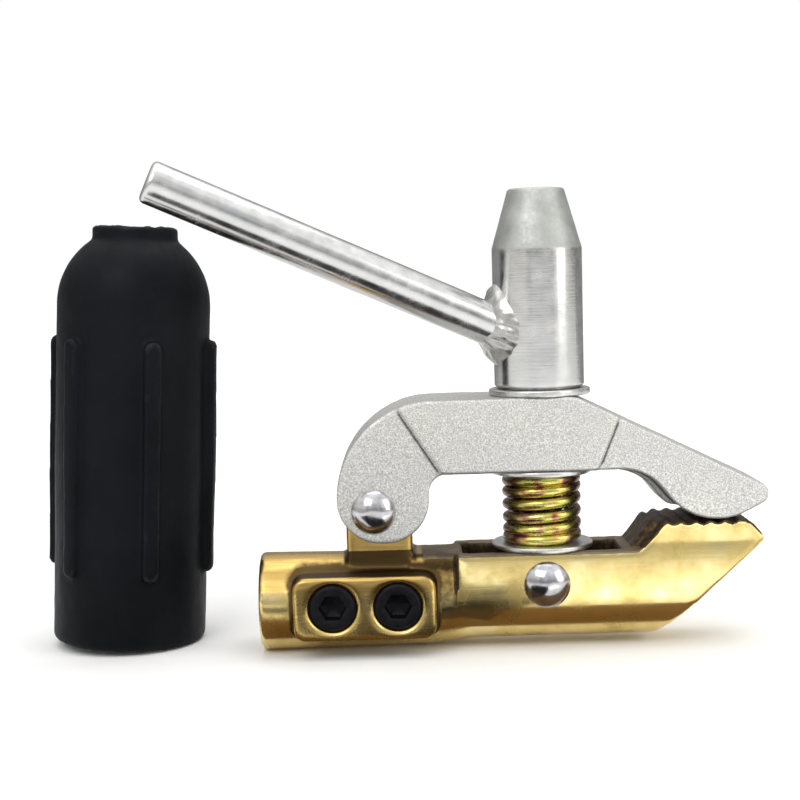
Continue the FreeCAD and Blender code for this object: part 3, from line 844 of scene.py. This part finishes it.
def weld_bead():
    """Lumpy fillet around the bar's root, longest on its lower side, with a welder's ripples."""
    steps, across, tail_steps = 160, 14, 5
    section = across + tail_steps + 1
    side = BAR_DIRECTION.cross(UP).normalized()
    above = side.cross(BAR_DIRECTION).normalized()
    vertices = []
    for k in range(steps):
        angle = 2 * math.pi * k / steps
        radial = side * math.cos(angle) + above * math.sin(angle)
        low_side = 0.5 - 0.5 * math.sin(angle)
        wobble = noise.noise(Vector((math.cos(angle) * 2, math.sin(angle) * 2, 3.3)))
        leg = (2.7 + 2.4 * low_side + 1.3 * wobble) * MM
        spread = (1.9 + 1.9 * low_side - 0.8 * wobble + 3.6 * (1 - low_side) ** 3) * MM
        for step in range(section):
            t = min(step / across, 1.0)
            tail = max(step - across, 0) / tail_steps
            rise = spread * t * (1 - tail) - 0.5 * MM * (1 - t) - 0.6 * MM * tail
            ripple = abs(math.sin(6 * angle + 2.6 * math.sin(2 * angle) + 2.2 * t)) * low_side
            bulge = math.sin(math.pi * t) * (0.55 + 0.45 * ripple + 0.3 * wobble) * MM * (tail == 0)
            radius = BAR_RADIUS + rise + 0.7 * bulge
            back = reach_to_hub(radial * radius, HUB_RADIUS) + 0.7 * MM * t + 1.6 * MM * tail
            back -= leg * (1 - t) ** 1.2 + bulge
            vertices.append(BAR_END - BAR_DIRECTION * back + radial * radius)
    rings = [list(range(k * section, (k + 1) * section)) for k in range(steps)]
    piece = mesh_piece("weld_fillet", vertices, ring_faces(rings))
    points = coordinates(piece.data)
    push_out(piece, lumps(points, 2.6 * MM, 11) * 0.34 * MM + lumps(points, 1.1 * MM, 12) * 0.12 * MM)
    dress(piece, "weld_bead")


def washer(node, bore_radius):
    """Stamped washer, rounded at its edges and slightly dented."""
    low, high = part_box(node)
    radius = (high.x - low.x) / 2
    thickness = high.z - low.z
    vertices, faces = turned(rounded([
        (bore_radius, 0.0, 0.15 * MM),
        (radius, 0.0, 0.45 * MM),
        (radius, thickness, 0.5 * MM),
        (bore_radius, thickness, 0.3 * MM),
    ], longest=0.8 * MM, closed=True), 144)
    piece = mesh_piece(node + "_plate", placed(vertices, (middle(node).x, 0, low.z)), faces)
    push_out(piece, lumps(coordinates(piece.data), 5 * MM, len(node)) * 0.03 * MM)
    dress(piece, node, 50)


def dome_profile(head_radius, head_height, base, steps=14):
    """Half of a rivet: a dome above base, from its pole down to its rim."""
    dome = (head_radius ** 2 + head_height ** 2) / (2 * head_height)
    spread = math.asin(head_radius / dome)
    angles = [spread * k / steps for k in range(steps + 1)]
    return [(dome * math.sin(a), base + head_height - dome * (1 - math.cos(a))) for a in angles]


def rivet(name, node, shank_radius, head_height, seed):
    """Plain shank with a lightly hammered dome at each end."""
    low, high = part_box(node)
    head_radius = (high.x - low.x) / 2
    half_grip = (high.y - low.y) / 2 - head_height
    upper = dome_profile(head_radius, head_height, half_grip) + [(shank_radius, half_grip)]
    profile = upper + [(radius, -height) for radius, height in reversed(upper)]
    vertices, faces = turned(profile)
    piece = mesh_piece(name, placed(vertices, middle(node), ALONG_Y), faces)
    points = coordinates(piece.data)
    on_dome = step_up(abs(points[:, 1] - middle(node).y), half_grip, half_grip + 1 * MM)
    push_out(piece, lumps(points, 3.2 * MM, seed) * 0.10 * MM * on_dome)
    dress(piece, node, 40)


SCREW_STEPS = 96
SCREW_CHAMFER = 0.75 * MM
HEX_HALF_WIDTH = 3.175 * MM


def screw_ring(reach, depth, hexagonal=False):
    """Ring of vertices around a set screw's axis. A hexagonal ring reaches that far at its flats."""
    ring = []
    for k in range(SCREW_STEPS):
        angle = 2 * math.pi * k / SCREW_STEPS
        away_from_flat = angle % (math.pi / 3) - math.pi / 6
        stretch = 1 / math.cos(away_from_flat) if hexagonal else 1
        ring.append((reach * stretch * math.cos(angle), reach * stretch * math.sin(angle), depth))
    return ring


def set_screw(node):
    """Set screw built ring by ring: cup point, side, rounded face, hex socket."""
    low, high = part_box(node)
    radius = (high.x - low.x) / 2
    length = high.y - low.y
    inner = radius - SCREW_CHAMFER
    outside = [
        (0.0, length), (radius * 0.35, length - 0.5 * MM), (inner - 0.8 * MM, length),
        (inner, length - 0.05 * MM), (radius, length - SCREW_CHAMFER), (radius, length / 2),
        (radius, SCREW_CHAMFER), (radius - 0.12 * MM, SCREW_CHAMFER - 0.15 * MM),
        (inner, 0.05 * MM), (inner - 0.25 * MM, 0.0),
    ]
    socket = [(1.12, 0.0), (1.02, 0.12), (1.0, 0.4), (1.0, 2.2), (0.98, 4.0), (0.85, 4.3)]
    vertices = []
    for reach, depth in outside:
        vertices += screw_ring(reach, depth)
    for share, depth in socket:
        vertices += screw_ring(share * HEX_HALF_WIDTH, depth * MM, hexagonal=True)
    vertices += screw_ring(0.0, 5.1 * MM)
    rings = [
        list(range(first, first + SCREW_STEPS)) for first in range(0, len(vertices), SCREW_STEPS)
    ]
    vertices = placed(np.array(vertices), (middle(node).x, low.y, middle(node).z), ALONG_Y)
    piece = mesh_piece(node + "_oxide", vertices, ring_faces(rings, close=False))
    weld_points(piece)
    dress(piece, node, 30)


THREAD_PITCH = 25.4 / 13 * MM
THREAD_DEPTH = 1.05 * MM
STUD_RADIUS = 6.32 * MM
STUD_CHAMFER = 1.1 * MM
EYE_BORE_RADIUS = 4.0 * MM


def threaded_stud(base, thread_start, top):
    """Rings of a stud, with a helical groove above thread_start and a chamfer at its top."""
    steps, rings_per_pitch = 48, 8
    heights = [base, base + 1 * MM, thread_start]
    while heights[-1] < top - THREAD_PITCH / rings_per_pitch:
        heights.append(heights[-1] + THREAD_PITCH / rings_per_pitch)
    heights.append(top)
    vertices = [(0, 0, base)]
    rings = [[0] * steps]
    for height in heights:
        rings.append(list(range(len(vertices), len(vertices) + steps)))
        pitches = (height - thread_start) / THREAD_PITCH
        run_in = min(1.0, max(0.0, pitches))
        chamfer = max(0.0, 1.0 - (top - height) / (1.2 * MM)) * STUD_CHAMFER
        for k in range(steps):
            phase = (pitches - k / steps) % 1.0
            groove = min(1.0, max(0.0, 1.15 - 2.5 * abs(phase - 0.5)))
            reach = STUD_RADIUS - THREAD_DEPTH * run_in * groove - chamfer
            angle = 2 * math.pi * k / steps
            vertices.append((reach * math.cos(angle), reach * math.sin(angle), height))
    rings.append([len(vertices)] * steps)
    vertices.append((0, 0, top))
    return np.array(vertices), ring_faces(rings, close=False)


def eye_bolt():
    """Threaded stud in an eye that turns on the lower rivet."""
    low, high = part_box("eye_bolt")
    pivot = Vector(JOINTS["bolt_tilt"]["pos_m"])
    eye_radius = pivot.z - low.z
    eye_half = (high.y - low.y) / 2
    stud, faces = threaded_stud(pivot.z + 4.6 * MM, FLAT_TOP - 1.0 * MM, high.z)
    eye, eye_faces = turned(rounded([
        (EYE_BORE_RADIUS, -eye_half, 0.3 * MM), (eye_radius, -eye_half, 0.8 * MM),
        (eye_radius, eye_half, 0.8 * MM), (EYE_BORE_RADIUS, eye_half, 0.3 * MM),
    ], longest=1.2 * MM, closed=True))
    faces += [[number + len(stud) for number in face] for face in eye_faces]
    vertices = np.vstack([placed(stud, (pivot.x, 0, 0)), placed(eye, pivot, ALONG_Y)])
    dress(mesh_piece("threaded_stud", vertices, faces), "eye_bolt", 60)


SPRING_WIRE_RADIUS = 1.52 * MM
SPRING_TURNS = 5.0
SPRING_LEAD = 0.45
SPRING_FACE_GAP = 0.02 * MM


def coil_spring():
    """Coil spring with closed, ground and tapered ends, set between the two spring washers."""
    wire = SPRING_WIRE_RADIUS
    coil = size("compression_spring").x / 2 - wire
    centre = middle("compression_spring")
    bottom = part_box("lower_spring_washer")[1].z + SPRING_FACE_GAP
    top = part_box("upper_spring_washer")[0].z - SPRING_FACE_GAP
    steps, section, taper_steps = 56, 20, 10
    count = round((SPRING_TURNS + 2 * SPRING_LEAD) * steps)

    def wire_centre(k):
        """Centre of the wire after k steps, and the direction away from the spring's axis there."""
        turn = k / steps - SPRING_LEAD
        share = min(1.0, max(0.0, turn / SPRING_TURNS))
        share -= 0.022 * math.sin(2 * math.pi * share)
        height = bottom + 0.9 * wire + (top - bottom - 1.8 * wire) * share
        angle = 2 * math.pi * turn - math.pi / 2
        outward = Vector((math.cos(angle), math.sin(angle), 0))
        return Vector((centre.x, centre.y, height)) + outward * coil, outward

    vertices = [wire_centre(0)[0]]
    rings = [[0] * section]
    for k in range(count):
        rings.append(list(range(len(vertices), len(vertices) + section)))
        at, outward = wire_centre(k)
        radius = wire * min(1.0, 0.80 + 0.20 * min(k, count - 1 - k) / taper_steps)
        for j in range(section):
            around = 2 * math.pi * j / section
            vertices.append(at + radius * (outward * math.cos(around) + UP * math.sin(around)))
    rings.append([len(vertices)] * section)
    vertices.append(wire_centre(count)[0])
    for vertex in vertices:
        vertex.z = min(max(vertex.z, bottom), top)
    piece = mesh_piece("coil_spring", vertices, ring_faces(rings, close=False))
    points = coordinates(piece.data)
    rest_place = piece.data.attributes.new("rest_place", "FLOAT_VECTOR", "POINT")
    rest_place.data.foreach_set("vector", points.astype(np.float32).ravel())
    x, y, z = points.T
    radial = np.hypot(x - centre.x, y)
    # Painted shade: the inner side of the coil and its flanks, darkened in the material.
    paint(piece, "inner", 1 - step_up(radial, coil - 0.8 * wire, coil + 0.5 * wire))
    paint(piece, "flank", step_up(abs(x - centre.x) + (z - bottom) * 0.12, coil * 0.66, coil + wire))
    finish(piece, "compression_spring")
    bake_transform(piece)


body_casting()
jaw_casting()
rubber_handle()
hub()
tommy_bar()
weld_bead()
washer("thrust_washer", 6.75 * MM)
washer("upper_spring_washer", 7.15 * MM)
washer("lower_spring_washer", 7.15 * MM)
rivet("pivot_rivet_dome", "pivot_rivet", 3.6 * MM, 2.9 * MM, 21)
rivet("bolt_rivet_dome", "bolt_rivet", 3.95 * MM, 3.0 * MM, 34)
set_screw("set_screw_rear")
set_screw("set_screw_front")
eye_bolt()
coil_spring()


# Floor, light and camera

def floor():
    """Wide pale disc that turns pure white far away, so that it has no horizon."""
    vertices, faces = turned([(0, 0), (0.3, 0), (1.5, 0), (6, 0), (6, -0.01), (0, -0.01)], 96)
    piece = mesh_piece("floor", vertices, faces)
    piece.location = (0.05, 0, CAD_BOX[0].z - 0.02 * MM)
    s = Shader("pale floor")
    tone = s.noise(60 * MM, 4, 0.5)
    distance = s.node("ShaderNodeVectorMath", operation="LENGTH")
    s.feed(distance.inputs[0], s.place)
    glow = s.range(distance.outputs["Value"], 0.15, 0.9, 0.0, 0.3)
    seen = s.node("ShaderNodeLightPath").outputs["Is Camera Ray"]
    s.set(
        Base_Color=s.ramp(tone, (0.3, (0.90, 0.90, 0.895)), (0.7, (0.93, 0.93, 0.925))),
        Roughness=0.75, Normal=s.bump(s.noise(1.5 * MM, 3), 0.05 * MM), Emission_Color=(1, 1, 1, 1),
        Emission_Strength=s.times(seen, glow),
    )
    piece.data.materials.append(s.material)


def soft_light(name, place, target, width, height, watts, colour=(1, 1, 1)):
    light = bpy.data.lights.new(name, "AREA")
    light.shape = "RECTANGLE"
    light.size = width
    light.size_y = height
    light.energy = watts
    light.color = colour
    lamp = bpy.data.objects.new(name, light)
    lamp.location = place
    lamp.rotation_euler = (Vector(target) - Vector(place)).to_track_quat("-Z", "Y").to_euler()
    bpy.context.scene.collection.objects.link(lamp)


def card(name, centre, width_vector, height_vector, tone, glow=0.0):
    """Studio card that only reflections see, to give the bright metal its dark and light bands."""
    centre, across, up = Vector(centre), Vector(width_vector) / 2, Vector(height_vector) / 2
    corners = [centre - across - up, centre + across - up, centre + across + up, centre - across + up]
    mesh = bpy.data.meshes.new(name)
    mesh.from_pydata([tuple(corner) for corner in corners], [], [(0, 1, 2, 3)])
    piece = link_mesh(name, mesh)
    s = Shader(name)
    s.set(
        Base_Color=(*tone, 1), Roughness=0.9, Specular_IOR_Level=0.0,
        Emission_Color=(1, 1, 1, 1), Emission_Strength=glow,
    )
    mesh.materials.append(s.material)
    piece.visible_camera = False
    piece.visible_diffuse = False
    piece.visible_shadow = False


def grey_stops(*stops):
    """Ramp stops from (position, brightness, warmth)."""
    return [
        (position, (level * (1 + warmth), level, level * (1 - 2 * warmth)))
        for position, level, warmth in stops
    ]


def studio_world():
    """White for the camera. Reflections see panels around a dimmer middle, under a bright ceiling."""
    world = bpy.data.worlds.new("studio")
    bpy.context.scene.world = world
    world.use_nodes = True
    nodes = Nodes(world.node_tree)
    direction = nodes.node("ShaderNodeSeparateXYZ")
    nodes.feed(direction.inputs[0], nodes.node("ShaderNodeTexCoord").outputs["Generated"])
    front = nodes.times(direction.outputs["Y"], -1)
    bearing = nodes.math("ARCTAN2", direction.outputs["X"], front)
    around = nodes.ramp(nodes.range(bearing, -math.pi, math.pi), *grey_stops(
        (0.00, 0.34, 0.0), (0.22, 0.36, 0.0), (0.27, 1.00, 0.02), (0.40, 1.08, 0.03), (0.415, 0.80, 0.02),
        (0.430, 0.26, 0.02), (0.445, 0.74, -0.02), (0.50, 0.84, -0.02), (0.58, 0.78, -0.02),
        (0.595, 0.24, 0.01), (0.61, 1.12, 0.03), (0.72, 1.05, 0.03), (0.78, 0.38, 0.0), (1.00, 0.34, 0.0),
    ))
    overhead = nodes.ramp(nodes.range(direction.outputs["Z"], -1, 1), *grey_stops(
        (0.0, 0.85, 0.0), (0.495, 0.90, 0.0), (0.51, 0.50, 0.02), (0.58, 0.56, 0.02), (0.64, 0.92, 0.0),
        (0.72, 1.05, 0.0), (1.0, 1.35, 0.0),
    ))
    below_ceiling = nodes.range(direction.outputs["Z"], 0.85, 0.35)
    panels = nodes.mix(below_ceiling, overhead, around, "MULTIPLY")
    seen = nodes.node("ShaderNodeLightPath").outputs["Is Camera Ray"]
    shown = nodes.mix(seen, panels, (1, 1, 1))
    nodes.feed(nodes.tree.nodes["Background"].inputs["Color"], shown)


PITCH = math.radians(5.0)
ROLL = math.radians(1.6)
CAMERA_PLACE = Vector((39.1, -404.0, 89.3)) * MM
FOCAL_LENGTH = 67.5


def camera():
    """A camera in front of the clamp, a little above it, looking slightly down and rolled a little."""
    forward = Vector((0, math.cos(PITCH), -math.sin(PITCH)))
    level = Vector((1, 0, 0))
    upright = level.cross(forward)
    right = level * math.cos(ROLL) - upright * math.sin(ROLL)
    above = upright * math.cos(ROLL) + level * math.sin(ROLL)
    lens = bpy.data.cameras.new("camera")
    lens.lens = FOCAL_LENGTH
    lens.sensor_width = 36
    lens.clip_start = 0.01
    holder = bpy.data.objects.new("camera", lens)
    turn = Matrix((right, above, -forward)).transposed()
    holder.matrix_world = Matrix.Translation(CAMERA_PLACE) @ turn.to_4x4()
    bpy.context.scene.collection.objects.link(holder)
    bpy.context.scene.camera = holder


floor()
studio_world()
camera()
soft_light("key", (-0.25, -0.55, 0.55), (0.05, 0, 0.03), 0.45, 0.35, 1.6)
soft_light("side", (0.65, -0.35, 0.30), (0.08, 0, 0.03), 0.30, 0.50, 1.0)
soft_light("top", (0.05, 0.10, 0.75), (0.05, 0, 0.03), 0.60, 0.60, 1.6)
ON_FLOOR = CAD_BOX[0].z + 0.4 * MM
card("under_card", (0.06, -0.021, ON_FLOOR), (0.40, 0, 0), (0, 0.022, 0), (0.17, 0.105, 0.055))
card("bar_card", (0.009, -0.096, ON_FLOOR), (0.150, 0.080, 0), (-0.045, 0.084, 0), (0.02, 0.02, 0.02))
card("glow_card", (0.112, -0.080, ON_FLOOR), (0.060, 0, 0), (0, 0.050, 0), (0.5, 0.5, 0.5), 1.9)
card("back_card", (0.05, 0.45, ON_FLOOR + 0.12), (3.0, 0, 0), (0, 0, 0.24), (0.3, 0.3, 0.3))
bpy.context.scene.view_settings.view_transform = "Standard"
